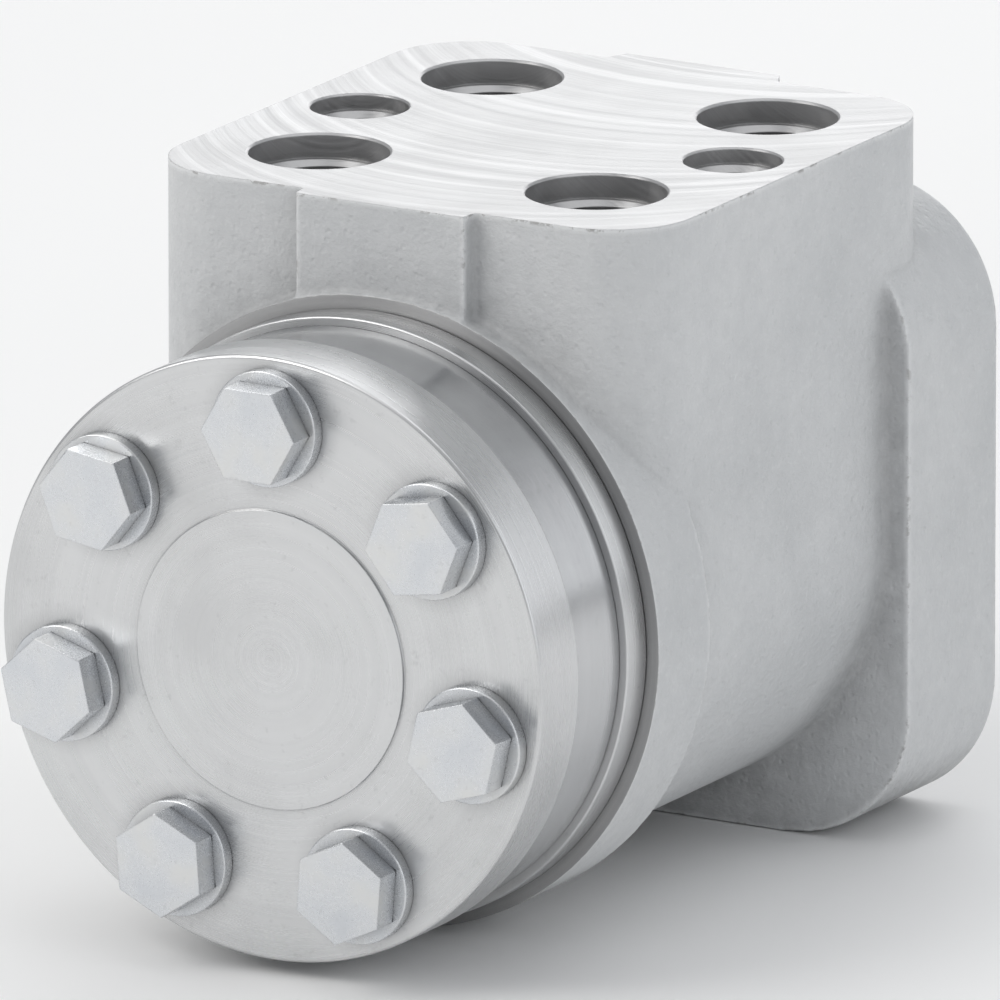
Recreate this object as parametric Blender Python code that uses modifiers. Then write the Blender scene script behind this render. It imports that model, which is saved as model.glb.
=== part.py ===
"""Orbital (gerotor) hydraulic steering motor with four top ports.

Every distance below is in millimetres.  "yf" is the distance behind the front
face of the end cover, measured along the shaft; x is to the right and z is up
from the shaft axis.  World: metres, +Z up, shaft along Y, end cover at -Y.
"""
import math
import bpy
import bmesh
from mathutils import Matrix, Vector

# ---------------------------------------------------------------- dimensions
MM = 0.001
BODY_HALF = 45.5            # half width of the rear flange, radius of the front disc
AXIS_Z = BODY_HALF          # height of the shaft axis above the ground
HEAD_FRONT = -6.5           # front of the bolt heads
FLANGE_BACK = 125.3
Y_MID = (HEAD_FRONT + FLANGE_BACK) / 2.0

COVER_R, COVER_T = 43.6, 10.4
BOSS_R, BOSS_H = 21.5, 0.4
RING_R, RING_F, RING_B = 42.36, 10.6, 23.7
PLATE_R, PLATE_F, PLATE_B = 43.65, 23.9, 29.1
DISC_R, DISC_F, DISC_B = 45.5, 29.3, 44.3
BARREL_R = 41.55
BLOCK_HALF, BLOCK_CORNER = 41.3, 12.45
BLOCK_F, BLOCK_B, BLOCK_TOP, BLOCK_FOOT = 32.9, 117.9, 58.75, 0.3
PAD_HALF, PAD_OUT = 13.65, 2.8
BACK_PAD_HALF, BACK_PAD_TIP, BACK_PAD_OUT = 13.9, 12.5, 3.4
FLANGE_F, FLANGE_CORNER = 100.4, 20.0

PORT_X, PORT_YF = 22.47, (51.8, 100.15)
PORT_RIM_R, PORT_RIM_D, PORT_R, PORT_D = 10.0, 3.6, 8.7, 16.6
SMALL_X, SMALL_YF = 30.35, 76.5
SMALL_RIM_R, SMALL_RIM_D, SMALL_R, SMALL_D = 7.0, 2.3, 5.6, 15.0
MOUNT_PITCH, MOUNT_R, MOUNT_D = 29.17, 4.4, 18.0

BOLTS = 7
BOLT_CIRCLE = 33.7
BOLT_AF, BOLT_HEAD_B = 13.0, -2.2
BOLT_R, BOLT_TIP = 3.9, 43.0
BOLT_HOLE_R, BOLT_THREAD_R, BOLT_THREAD_B = 4.3, 4.15, 46.0
WASHER_R, WASHER_BORE, WASHER_F, WASHER_B = 8.35, 4.25, -2.1, -0.05

ORING_MEAN, ORING_SECTION, GROOVE_HALF, GROOVE_D = 40.1, 0.6, 1.0, 1.3

MAIN_BORE_R, MAIN_BORE_B = 19.0, 103.0
SEAL_BORE_R, SEAL_BORE_B = 17.0, 118.0
NECK_BORE_R, NECK_BORE_B = 14.2, 121.0
DUST_BORE_R = 17.5

LOBES = 7
LOBE_CENTRE, LOBE_R, ECC, ROOT_R = 30.5, 7.0, 2.6, 28.9
ROTOR_GAP = 0.15
ROTOR_F, ROTOR_B = 10.9, 23.5
TEETH = 12

PIN_YF, PIN_R, PIN_HALF = 82.0, 4.0, 18.4
ROTOR_MID = 17.0
TILT = math.atan(ECC / (PIN_YF - ROTOR_MID))

SLEEVE_R, SLEEVE_BORE, SLEEVE_F, SLEEVE_B = 18.7, 14.2, 34.0, 97.5
SPOOL_R, SPOOL_BORE, SPOOL_F, SPOOL_STEP = 13.9, 10.5, 34.3, 97.0
SPOOL_NECK_R, SPOOL_B = 12.4, 122.0
SPRING_YF, SPRING_HALF_W = 92.0, 2.7

RELIEF_Z, RELIEF_R = 33.5, 5.0
SHOCK_X, SHOCK_R = 14.5, 4.0
CHECK_BOLT = 2

# ------------------------------------------------------------------ set-up
for old in list(bpy.data.objects):
    bpy.data.objects.remove(old, do_unlink=True)
root_coll = bpy.context.scene.collection
for old in list(root_coll.children):
    root_coll.children.unlink(old)
MAIN = bpy.data.collections.new("orbital_steering_motor")
CUT = bpy.data.collections.new("cutters")
root_coll.children.link(MAIN)
root_coll.children.link(CUT)


def material(name, rgb, rough, metal):
    m = bpy.data.materials.new(name)
    m.use_nodes = True
    b = m.node_tree.nodes["Principled BSDF"]
    b.inputs["Base Color"].default_value = (rgb[0], rgb[1], rgb[2], 1.0)
    b.inputs["Roughness"].default_value = rough
    b.inputs["Metallic"].default_value = metal
    m.diffuse_color = (rgb[0], rgb[1], rgb[2], 1.0)
    return m


def put(obj, x, yf, z, rot=(0.0, 0.0, 0.0), parent=None):
    """Place an object by its shaft coordinates, directly or under an empty."""
    loc = Vector((x * MM, (yf - Y_MID) * MM, (z + AXIS_Z) * MM))
    obj.rotation_euler = rot
    if parent is not None:
        obj.parent = parent
        loc = loc - parent.location
    obj.location = loc
    return obj


def axis_empty(name, x, yf, z):
    e = bpy.data.objects.new(name, None)
    e.empty_display_size = 0.02
    MAIN.objects.link(e)
    return put(e, x, yf, z)


def finish(obj, mat, smooth=True):
    MAIN.objects.link(obj)
    obj.data.materials.clear()
    obj.data.materials.append(mat)
    if smooth and hasattr(obj.data, "polygons"):
        for p in obj.data.polygons:
            p.use_smooth = True
    return obj


def as_cutter(obj):
    CUT.objects.link(obj)
    obj.hide_render = True
    obj.display_type = "WIRE"
    return obj


def screw_object(name, pts, seg, ring=False):
    """Profile of (radius, height) points, turned about local Z."""
    area = 0.0
    loop = list(pts)
    for i in range(len(loop)):
        a, b = loop[i], loop[(i + 1) % len(loop)]
        area += a[0] * b[1] - b[0] * a[1]
    if area > 0:
        loop.reverse()
    me = bpy.data.meshes.new(name)
    bm = bmesh.new()
    vs = [bm.verts.new((r * MM, 0.0, h * MM)) for r, h in loop]
    for a, b in zip(vs[:-1], vs[1:]):
        bm.edges.new((a, b))
    if ring:
        bm.edges.new((vs[-1], vs[0]))
    bm.to_mesh(me)
    bm.free()
    ob = bpy.data.objects.new(name, me)
    s = ob.modifiers.new("Turn", "SCREW")
    s.axis = "Z"
    s.angle = 2.0 * math.pi
    s.steps = seg
    s.render_steps = seg
    s.use_merge_vertices = True
    s.merge_threshold = 0.00001
    s.use_smooth_shade = True
    return ob


ALONG = (-math.pi / 2.0, 0.0, 0.0)      # local Z -> world +Y
FACING = (math.pi / 2.0, 0.0, 0.0)      # local Z -> world -Y, local Y -> world +Z


def open_start(pts):
    """Rotate a solid profile so that it starts and ends on the axis."""
    return [(0.0, pts[0][1])] + list(pts) + [(0.0, pts[-1][1])]


def turned_solid(name, pts, seg, mat, x=0.0, yf=0.0, z=0.0, rot=ALONG, parent=None):
    """pts run along the outer side; heights are yf distances from yf=0."""
    ob = screw_object(name, open_start([(r, h - yf) for r, h in pts]), seg)
    finish(ob, mat)
    return put(ob, x, yf, z, rot, parent)


def turned_ring(name, pts, seg, mat, x=0.0, yf=0.0, z=0.0, rot=ALONG, parent=None):
    ob = screw_object(name, [(r, h - yf) for r, h in pts], seg, ring=True)
    finish(ob, mat)
    return put(ob, x, yf, z, rot, parent)


def arc(cx, cy, r, a0, a1, n):
    out = []
    for i in range(n + 1):
        a = math.radians(a0 + (a1 - a0) * i / n)
        out.append((cx + r * math.cos(a), cy + r * math.sin(a)))
    return out


def circle(cx, cy, r, n, turn=0.0):
    return [(cx + r * math.cos(turn + 2 * math.pi * i / n),
             cy + r * math.sin(turn + 2 * math.pi * i / n)) for i in range(n)]


def flat_curve(name, outlines, half):
    """A flat outline (with its holes) as a filled 2D curve, extruded both ways."""
    cu = bpy.data.curves.new(name, "CURVE")
    cu.dimensions = "2D"
    cu.fill_mode = "BOTH"
    cu.extrude = half * MM
    for pts in outlines:
        sp = cu.splines.new("POLY")
        sp.points.add(len(pts) - 1)
        for p, (x, y) in zip(sp.points, pts):
            p.co = (x * MM, y * MM, 0.0, 1.0)
        sp.use_cyclic_u = True
    return bpy.data.objects.new(name, cu)


def flat_mesh(name, outline, half):
    """One flat outline as a mesh, for pieces that are cut or joined."""
    me = bpy.data.meshes.new(name)
    bm = bmesh.new()
    face = bm.faces.new([bm.verts.new((x * MM, y * MM, -half * MM)) for x, y in outline])
    grown = bmesh.ops.extrude_face_region(bm, geom=[face])
    top = [v for v in grown["geom"] if isinstance(v, bmesh.types.BMVert)]
    bmesh.ops.translate(bm, verts=top, vec=(0.0, 0.0, 2.0 * half * MM))
    bmesh.ops.recalc_face_normals(bm, faces=bm.faces)
    bm.to_mesh(me)
    bm.free()
    return bpy.data.objects.new(name, me)


def drill_mesh(name, holes, seg):
    """Straight drills: (start, end, radius) in shaft coordinates."""
    me = bpy.data.meshes.new(name)
    bm = bmesh.new()
    for a, b, r in holes:
        p = Vector((a[0] * MM, (a[1] - Y_MID) * MM, (a[2] + AXIS_Z) * MM))
        q = Vector((b[0] * MM, (b[1] - Y_MID) * MM, (b[2] + AXIS_Z) * MM))
        d = q - p
        m = Matrix.Translation((p + q) / 2.0) @ d.to_track_quat("Z", "Y").to_matrix().to_4x4()
        bmesh.ops.create_cone(bm, cap_ends=True, segments=seg, radius1=r * MM,
                              radius2=r * MM, depth=d.length, matrix=m)
    bm.to_mesh(me)
    bm.free()
    return as_cutter(bpy.data.objects.new(name, me))


def box_mesh(name, boxes):
    """Rectangular cutters: (x0, x1, yf0, yf1, z0, z1)[, angle about the shaft]."""
    me = bpy.data.meshes.new(name)
    bm = bmesh.new()
    for bx in boxes:
        x0, x1, y0, y1, z0, z1 = bx[:6]
        ang = bx[6] if len(bx) > 6 else 0.0
        m = (Matrix.Translation((0.0, 0.0, AXIS_Z * MM)) @ Matrix.Rotation(ang, 4, "Y")
             @ Matrix.Translation(((x0 + x1) / 2 * MM, ((y0 + y1) / 2 - Y_MID) * MM, (z0 + z1) / 2 * MM))
             @ Matrix.Diagonal(((x1 - x0) * MM, (y1 - y0) * MM, (z1 - z0) * MM, 1.0)))
        bmesh.ops.create_cube(bm, size=1.0, matrix=m)
    bm.to_mesh(me)
    bm.free()
    return as_cutter(bpy.data.objects.new(name, me))


def combine(obj, tool, op="DIFFERENCE"):
    m = obj.modifiers.new(tool.name, "BOOLEAN")
    m.operation = op
    m.solver = "EXACT"
    m.object = tool
    return m


# --------------------------------------------------------------- materials
CAST = material("painted_cast_iron", (0.68, 0.69, 0.70), 0.45, 0.0)
STEEL = material("machined_steel", (0.62, 0.63, 0.64), 0.32, 1.0)
HARD = material("hardened_steel", (0.50, 0.51, 0.53), 0.22, 1.0)
ZINC = material("zinc_plated_steel", (0.70, 0.71, 0.73), 0.30, 1.0)
SPRING = material("spring_steel", (0.30, 0.31, 0.33), 0.35, 1.0)
RUBBER = material("black_nitrile", (0.03, 0.03, 0.032), 0.6, 0.0)


def piece_material(base, name):
    m = base.copy()
    m.name = name
    return m


# ------------------------------------------------------------ joint empties
METER = axis_empty("metering_axis", 0.0, PIN_YF, 0.0)
ORBIT = axis_empty("orbit_axis", 0.0, ROTOR_MID, 0.0)
ROTOR_AXIS = axis_empty("rotor_axis", 0.0, ROTOR_MID, -ECC)
CARDAN_AXIS = axis_empty("cardan_pivot", 0.0, PIN_YF, 0.0)

bolt_angles = [math.radians(90.0 + 360.0 / BOLTS * k) for k in range(BOLTS)]
bolt_xz = [(BOLT_CIRCLE * math.cos(a), BOLT_CIRCLE * math.sin(a)) for a in bolt_angles]
gap_angles = [a + math.pi / BOLTS for a in bolt_angles]

# ----------------------------------------------------------------- housing
housing = screw_object("housing", open_start([
    (DISC_R, DISC_F), (DISC_R, DISC_B), (BARREL_R, DISC_B),
    (BARREL_R, 112.0)]), 60)
finish(housing, piece_material(CAST, "housing_iron"))
put(housing, 0, 0, 0, ALONG)

c = BLOCK_CORNER
w = BLOCK_HALF
block_pts = (arc(w - c, BLOCK_F + c, c, -90, 0, 8) + arc(w - c, BLOCK_B - c, c, 0, 90, 8)
             + [(BACK_PAD_HALF, BLOCK_B), (BACK_PAD_TIP, BLOCK_B + BACK_PAD_OUT),
                (-BACK_PAD_TIP, BLOCK_B + BACK_PAD_OUT), (-BACK_PAD_HALF, BLOCK_B)]
             + arc(-w + c, BLOCK_B - c, c, 90, 180, 8) + arc(-w + c, BLOCK_F + c, c, 180, 270, 8)
             + [(-PAD_HALF, BLOCK_F), (-PAD_HALF, BLOCK_F - PAD_OUT),
                (PAD_HALF, BLOCK_F - PAD_OUT), (PAD_HALF, BLOCK_F)])
block = flat_mesh("port_block", block_pts, (BLOCK_TOP - BLOCK_FOOT) / 2)
as_cutter(block)
block.location = (0.0, -Y_MID * MM, (AXIS_Z + (BLOCK_TOP + BLOCK_FOOT) / 2) * MM)

h = BODY_HALF
f = FLANGE_CORNER
flange_pts = (arc(h - f, h - f, f, 0, 90, 10) + arc(-h + f, h - f, f, 90, 180, 10)
              + arc(-h + f, -h + f, f, 180, 270, 10) + arc(h - f, -h + f, f, 270, 360, 10))
flange = flat_mesh("rear_flange", flange_pts, (FLANGE_BACK - FLANGE_F) / 2)
as_cutter(flange)
put(flange, 0, (FLANGE_F + FLANGE_BACK) / 2, 0, FACING)
combine(housing, block, "UNION")
combine(housing, flange, "UNION")

bore = screw_object("stepped_bore", open_start([
    (MAIN_BORE_R, DISC_F - 3), (MAIN_BORE_R, MAIN_BORE_B), (SEAL_BORE_R, MAIN_BORE_B),
    (SEAL_BORE_R, SEAL_BORE_B), (NECK_BORE_R, SEAL_BORE_B), (NECK_BORE_R, NECK_BORE_B),
    (DUST_BORE_R, NECK_BORE_B), (DUST_BORE_R, FLANGE_BACK + 3)]), 48)
as_cutter(bore)
put(bore, 0, 0, 0, ALONG)
combine(housing, bore)


face_groove = screw_object("face_groove_cutter", [
    (ORING_MEAN - GROOVE_HALF, DISC_F + GROOVE_D), (ORING_MEAN + GROOVE_HALF, DISC_F + GROOVE_D),
    (ORING_MEAN + GROOVE_HALF, DISC_F - 2), (ORING_MEAN - GROOVE_HALF, DISC_F - 2)], 60, ring=True)
as_cutter(face_groove)
put(face_groove, 0, 0, 0, ALONG)
combine(housing, face_groove)


def hole_stack(name, spots, seg, profile):
    """One turned cutter at each spot on the port face; heights are down from it."""
    for i, (x, yf) in enumerate(spots):
        ob = screw_object("%s_%d" % (name, i + 1), open_start(profile), seg)
        as_cutter(ob)
        put(ob, x, yf, BLOCK_TOP)
        combine(housing, ob)


hole_stack("port_cutter", [(sx * PORT_X, y) for y in PORT_YF for sx in (-1, 1)], 24,
           [(PORT_RIM_R, 2.0), (PORT_RIM_R, -PORT_RIM_D), (PORT_R, -PORT_RIM_D), (PORT_R, -PORT_D)])
hole_stack("small_port_cutter", [(-SMALL_X, SMALL_YF), (SMALL_X, SMALL_YF)], 18,
           [(SMALL_RIM_R, 2.0), (SMALL_RIM_R, -SMALL_RIM_D), (SMALL_R, -SMALL_RIM_D), (SMALL_R, -SMALL_D)])

combine(housing, drill_mesh("bolt_holes_cutter", [
    ((x, DISC_F - 2, z), (x, 58.3 if k == CHECK_BOLT else BOLT_THREAD_B, z), BOLT_THREAD_R)
    for k, (x, z) in enumerate(bolt_xz)], 16))
combine(housing, drill_mesh("mount_holes_cutter", [
    ((sx * MOUNT_PITCH, FLANGE_BACK + 2, sz * MOUNT_PITCH),
     (sx * MOUNT_PITCH, FLANGE_BACK - MOUNT_D, sz * MOUNT_PITCH), MOUNT_R)
    for sx in (-1, 1) for sz in (-1, 1)], 14))
combine(housing, drill_mesh("valve_bores_cutter", [
    ((0, FLANGE_BACK + 2, RELIEF_Z), (0, 83.0, RELIEF_Z), RELIEF_R),
    ((SHOCK_X, FLANGE_BACK + 2, RELIEF_Z), (SHOCK_X, 88.5, RELIEF_Z), SHOCK_R),
    ((-SHOCK_X, FLANGE_BACK + 2, RELIEF_Z), (-SHOCK_X, 88.5, RELIEF_Z), SHOCK_R)], 16))
combine(housing, drill_mesh("valve_passages_cutter", [
    ((0, 85.0, RELIEF_Z), (0, 75.0, RELIEF_Z), 2.0),
    ((SHOCK_X, 90.0, RELIEF_Z), (SHOCK_X, 82.0, RELIEF_Z), 1.8),
    ((-SHOCK_X, 90.0, RELIEF_Z), (-SHOCK_X, 82.0, RELIEF_Z), 1.8)], 8))
combine(housing, drill_mesh("relief_cross_cutter", [((0, 76.8, RELIEF_Z + 0.5), (0, 76.8, 17.0), 1.7)], 8))
combine(housing, drill_mesh("port_passages_cutter", [
    ((sx * (PORT_X - 1.0), y, 43.5), (sx * 9.5, y2, 13.5), 3.0)
    for sx in (-1, 1) for y, y2 in ((PORT_YF[0], 56.0), (PORT_YF[1], 88.0))], 10))
combine(housing, drill_mesh("pocket_passages_cutter", [
    ((25.5 * math.cos(a), DISC_F - 2, 25.5 * math.sin(a)),
     (25.5 * math.cos(a), 44.0, 25.5 * math.sin(a)), 1.8) for a in gap_angles], 8))
combine(housing, drill_mesh("radial_passages_cutter", [
    ((17.0 * math.cos(a), 42.0, 17.0 * math.sin(a)),
     (25.6 * math.cos(a), 42.0, 25.6 * math.sin(a)), 1.4) for a in gap_angles], 6))

# --------------------------------------------------------------- end cover
cover = turned_solid("end_cover", [
    (ORING_MEAN - GROOVE_HALF, COVER_T), (ORING_MEAN - GROOVE_HALF, COVER_T - GROOVE_D),
    (ORING_MEAN + GROOVE_HALF, COVER_T - GROOVE_D), (ORING_MEAN + GROOVE_HALF, COVER_T),
    (COVER_R, COVER_T), (COVER_R, 0.5), (COVER_R - 0.5, 0.0), (BOSS_R, 0.0), (BOSS_R, -BOSS_H)],
    60, piece_material(STEEL, "cover_steel"))
combine(cover, drill_mesh("cover_holes_cutter", [
    ((x, -3, z), (x, COVER_T + 3, z), BOLT_HOLE_R) for x, z in bolt_xz], 16))

# --------------------------------------------------------------- gear ring
beta = math.degrees(math.acos((LOBE_CENTRE ** 2 + LOBE_R ** 2 - ROOT_R ** 2) / (2 * LOBE_CENTRE * LOBE_R)))
inner = []
for a in bolt_angles:
    ad = math.degrees(a)
    cx, cz = LOBE_CENTRE * math.cos(a), LOBE_CENTRE * math.sin(a)
    lobe = arc(cx, cz, LOBE_R, ad + 180 + beta, ad + 180 - beta, 14)
    inner += lobe
    end = math.degrees(math.atan2(lobe[-1][1], lobe[-1][0]))
    nxt = ad + 360.0 / LOBES
    half = (nxt - end) % 360.0 - ((end - ad) % 360.0)
    inner += arc(0, 0, ROOT_R, end, end + half, 5)[1:-1]
outlines = [circle(0, 0, RING_R, 60), inner]
outlines += [circle(x, z, BOLT_HOLE_R, 16) for x, z in bolt_xz]
ring = flat_curve("gear_ring", outlines, (RING_B - RING_F) / 2)
finish(ring, piece_material(STEEL, "gear_ring_steel"))
put(ring, 0, (RING_F + RING_B) / 2, 0, FACING)

# ------------------------------------------------------- distributor plate
plate = turned_ring("distributor_plate", [
    (10.5, PLATE_B), (PLATE_R, PLATE_B), (PLATE_R, PLATE_F), (ORING_MEAN + GROOVE_HALF, PLATE_F),
    (ORING_MEAN + GROOVE_HALF, PLATE_F + GROOVE_D), (ORING_MEAN - GROOVE_HALF, PLATE_F + GROOVE_D),
    (ORING_MEAN - GROOVE_HALF, PLATE_F), (10.5, PLATE_F)], 56, piece_material(STEEL, "plate_steel"))
combine(plate, drill_mesh("plate_holes_cutter", [
    ((x, PLATE_F - 2, z), (x, PLATE_B + 2, z), BOLT_HOLE_R) for x, z in bolt_xz] + [
    ((25.5 * math.cos(a), PLATE_F - 2, 25.5 * math.sin(a)),
     (25.5 * math.cos(a), PLATE_B + 2, 25.5 * math.sin(a)), 1.8) for a in gap_angles], 14))

# ------------------------------------------------------- bolts and washers
for k, (a, (x, z)) in enumerate(zip(bolt_angles, bolt_xz)):
    bolt = turned_solid("cover_bolt_%d" % (k + 1), [
        (BOLT_R, BOLT_HEAD_B - 1.0), (BOLT_R, BOLT_TIP - 0.8), (BOLT_R - 0.8, BOLT_TIP)],
        16, piece_material(ZINC, "bolt_zinc_%d" % (k + 1)), x, 0.0, z)
    me = bpy.data.meshes.new("bolt_head_%d" % (k + 1))
    bm = bmesh.new()
    bmesh.ops.create_cone(bm, cap_ends=True, segments=6, radius1=BOLT_AF / math.sqrt(3) * MM,
                          radius2=BOLT_AF / math.sqrt(3) * MM, depth=(BOLT_HEAD_B - HEAD_FRONT) * MM)
    bm.to_mesh(me)
    bm.free()
    head = as_cutter(bpy.data.objects.new("bolt_head_%d" % (k + 1), me))
    put(head, x, (HEAD_FRONT + BOLT_HEAD_B) / 2, z, (math.pi / 2.0, -a, 0.0))
    combine(bolt, head, "UNION")
    turned_ring("bolt_washer_%d" % (k + 1), [
        (WASHER_BORE, WASHER_B), (WASHER_R, WASHER_B), (WASHER_R, WASHER_F), (WASHER_BORE, WASHER_F)],
        22, piece_material(ZINC, "washer_zinc_%d" % (k + 1)), x, 0.0, z)

# ----------------------------------------------------------------- O-rings
for name, yf in (("o_ring_cover", COVER_T - GROOVE_D / 2 + 0.1),
                 ("o_ring_plate", PLATE_F + GROOVE_D / 2 - 0.1),
                 ("o_ring_housing", DISC_F + GROOVE_D / 2 - 0.1)):
    turned_ring(name, circle(ORING_MEAN, yf, ORING_SECTION, 6), 36,
                piece_material(RUBBER, name + "_rubber"), 0.0, yf, 0.0)

# ------------------------------------------------------------------- rotor
profile = []
n = 144
for i in range(n):
    t = 2 * math.pi * i / n
    px, pz = LOBE_CENTRE * math.cos(t) - ECC * math.cos(LOBES * t), LOBE_CENTRE * math.sin(t) - ECC * math.sin(LOBES * t)
    dx = -LOBE_CENTRE * math.sin(t) + LOBES * ECC * math.sin(LOBES * t)
    dz = LOBE_CENTRE * math.cos(t) - LOBES * ECC * math.cos(LOBES * t)
    ln = math.hypot(dx, dz)
    off = LOBE_R + ROTOR_GAP
    profile.append((px - off * dz / ln, pz + off * dx / ln))


def spline_outline(r_in, r_out, half_in, half_out, teeth):
    """Toothed outline: outer lands of half angle half_out, inner of half_in (degrees)."""
    out = []
    for i in range(teeth):
        a = 360.0 / teeth * i
        for ang, r in ((a - half_in, r_in), (a - half_out, r_out), (a + half_out, r_out), (a + half_in, r_in)):
            out.append((r * math.cos(math.radians(ang)), r * math.sin(math.radians(ang))))
    return out


rotor = flat_curve("rotor", [profile, spline_outline(7.9, 9.4, 11.5, 7.5, TEETH)], (ROTOR_B - ROTOR_F) / 2)
finish(rotor, piece_material(HARD, "rotor_steel"))
put(rotor, 0, (ROTOR_F + ROTOR_B) / 2, -ECC, FACING, ROTOR_AXIS)

spacer = turned_solid("rotor_spacer", [(7.0, 11.9), (7.0, 10.9)], 24,
                      piece_material(STEEL, "spacer_steel"), 0.0, ROTOR_MID, -ECC, ALONG, ORBIT)

# ------------------------------------------------------------ cardan shaft
cardan = screw_object("cardan_shaft", open_start([
    (7.6, -4.6), (8.3, -4.0), (8.3, 8.0), (6.0, 11.0), (6.0, 57.0), (7.2, 59.0), (7.2, 68.6), (6.4, 69.4)]), 20)
finish(cardan, piece_material(HARD, "cardan_steel"))
put(cardan, 0, PIN_YF, 0, (math.pi / 2.0 + TILT, 0.0, 0.0), CARDAN_AXIS)
head = flat_mesh("cardan_spline_head", spline_outline(7.4, 8.8, 8.5, 5.0, TEETH), 4.7)
as_cutter(head)
head.parent = cardan
head.location = (0.0, 0.0, 64.2 * MM)
combine(cardan, head, "UNION")
me = bpy.data.meshes.new("cardan_fork_cutter")
bm = bmesh.new()
bmesh.ops.create_cube(bm, size=1.0, matrix=Matrix.Translation((0, 0, -3.0 * MM)) @ Matrix.Diagonal((24 * MM, 8.7 * MM, 6.2 * MM, 1)))
bm.to_mesh(me)
bm.free()
fork = as_cutter(bpy.data.objects.new("cardan_fork_cutter", me))
fork.parent = cardan
combine(cardan, fork)
me = bpy.data.meshes.new("cardan_fork_round")
bm = bmesh.new()
bmesh.ops.create_cone(bm, cap_ends=True, segments=16, radius1=4.349 * MM, radius2=4.349 * MM, depth=25 * MM,
                      matrix=Matrix.Rotation(math.pi / 2, 4, "Y"))
bm.to_mesh(me)
bm.free()
fork_round = as_cutter(bpy.data.objects.new("cardan_fork_round", me))
fork_round.parent = cardan
combine(cardan, fork_round)

# ------------------------------------------------------------ valve sleeve
groove = []
for g in (46.0, 60.0):
    groove += [(SLEEVE_R, g), (SLEEVE_R - 1.4, g), (SLEEVE_R - 1.4, g + 4.0), (SLEEVE_R, g + 4.0)]
sleeve = turned_ring("valve_sleeve", [(SLEEVE_BORE, SLEEVE_F), (SLEEVE_R - 0.5, SLEEVE_F), (SLEEVE_R, SLEEVE_F + 0.5)]
                     + groove + [(SLEEVE_R, 88.6), (17.6, 88.6), (17.6, 95.4), (SLEEVE_R, 95.4),
                                 (SLEEVE_R, SLEEVE_B), (SLEEVE_BORE, SLEEVE_B)],
                     36, piece_material(HARD, "sleeve_steel"), 0.0, PIN_YF, 0.0, ALONG, METER)
combine(sleeve, drill_mesh("sleeve_pin_cutter", [((-24, PIN_YF, 0), (24, PIN_YF, 0), PIN_R + 0.25)], 16))
combine(sleeve, box_mesh("sleeve_slot_cutter", [(-1.45, 1.45, SPRING_YF - 3.0, SPRING_YF + 3.0, -24, 24)]))
combine(sleeve, drill_mesh("sleeve_feed_cutter", [
    ((12 * math.cos(a), 48.0, 12 * math.sin(a)), (22 * math.cos(a), 48.0, 22 * math.sin(a)), 1.4)
    for a in [math.radians(30 + 60 * i) for i in range(6)]], 6))
combine(sleeve, drill_mesh("sleeve_meter_cutter", [
    ((12 * math.cos(a), 42.0, 12 * math.sin(a)), (22 * math.cos(a), 42.0, 22 * math.sin(a)), 1.1)
    for a in [math.radians(60 * i) for i in range(6)]], 6))

# ------------------------------------------------------------- valve spool
spool = turned_solid("valve_spool", [
    (SPOOL_BORE, 95.3), (SPOOL_BORE, SPOOL_F), (SPOOL_R, SPOOL_F), (SPOOL_R, SPOOL_STEP),
    (SPOOL_NECK_R, SPOOL_STEP), (SPOOL_NECK_R, SPOOL_B - 0.5), (SPOOL_NECK_R - 0.5, SPOOL_B)],
    36, piece_material(HARD, "spool_steel"), 0.0, PIN_YF, 0.0, ALONG, METER)
socket = flat_mesh("spool_socket_cutter", spline_outline(9.5, 10.6, 11.0, 7.5, TEETH), 11.0)
as_cutter(socket)
put(socket, 0, 113.0, 0, FACING)
combine(spool, socket)
combine(spool, drill_mesh("spool_pin_cutter", [((-20, PIN_YF, 0), (20, PIN_YF, 0), 6.35)], 20))
combine(spool, box_mesh("spool_slot_cutter", [(-3.45, 3.45, SPRING_YF - 3.1, SPRING_YF + 3.1, -18, 18)]))
combine(spool, box_mesh("spool_flutes_cutter", [
    (-1.3, 1.3, 44.0, 62.0, SPOOL_R - 1.2, SPOOL_R + 3.0, math.radians(60 * i)) for i in range(6)]))

pin = turned_solid("cross_pin", [(PIN_R - 0.5, -PIN_HALF), (PIN_R, -PIN_HALF + 0.5), (PIN_R, PIN_HALF - 0.5),
                                 (PIN_R - 0.5, PIN_HALF)],
                   16, piece_material(HARD, "pin_steel"), 0.0, 0.0, 0.0, (0.0, math.pi / 2.0, 0.0))
pin.parent = METER
pin.location = (0.0, 0.0, 0.0)

for side, name in ((1, "leaf_spring_right"), (-1, "leaf_spring_left")):
    outer = [(side * (0.65 + 0.65 * (q / 17.3) ** 2), q) for q in [17.3 * (i / 6.0 - 1.0) for i in range(13)]]
    inward = [(side * (0.15 + 0.65 * (q / 17.3) ** 2), q) for q in [17.3 * (1.0 - i / 6.0) for i in range(13)]]
    leaf = flat_curve(name, [outer + inward], SPRING_HALF_W)
    finish(leaf, piece_material(SPRING, name + "_steel"))
    put(leaf, 0, SPRING_YF, 0, FACING, METER)

turned_ring("spring_ring", [(17.85, 95.1), (18.6, 95.1), (18.6, 88.9), (17.85, 88.9)], 36,
            piece_material(SPRING, "spring_ring_steel"), 0.0, PIN_YF, 0.0, ALONG, METER)

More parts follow.
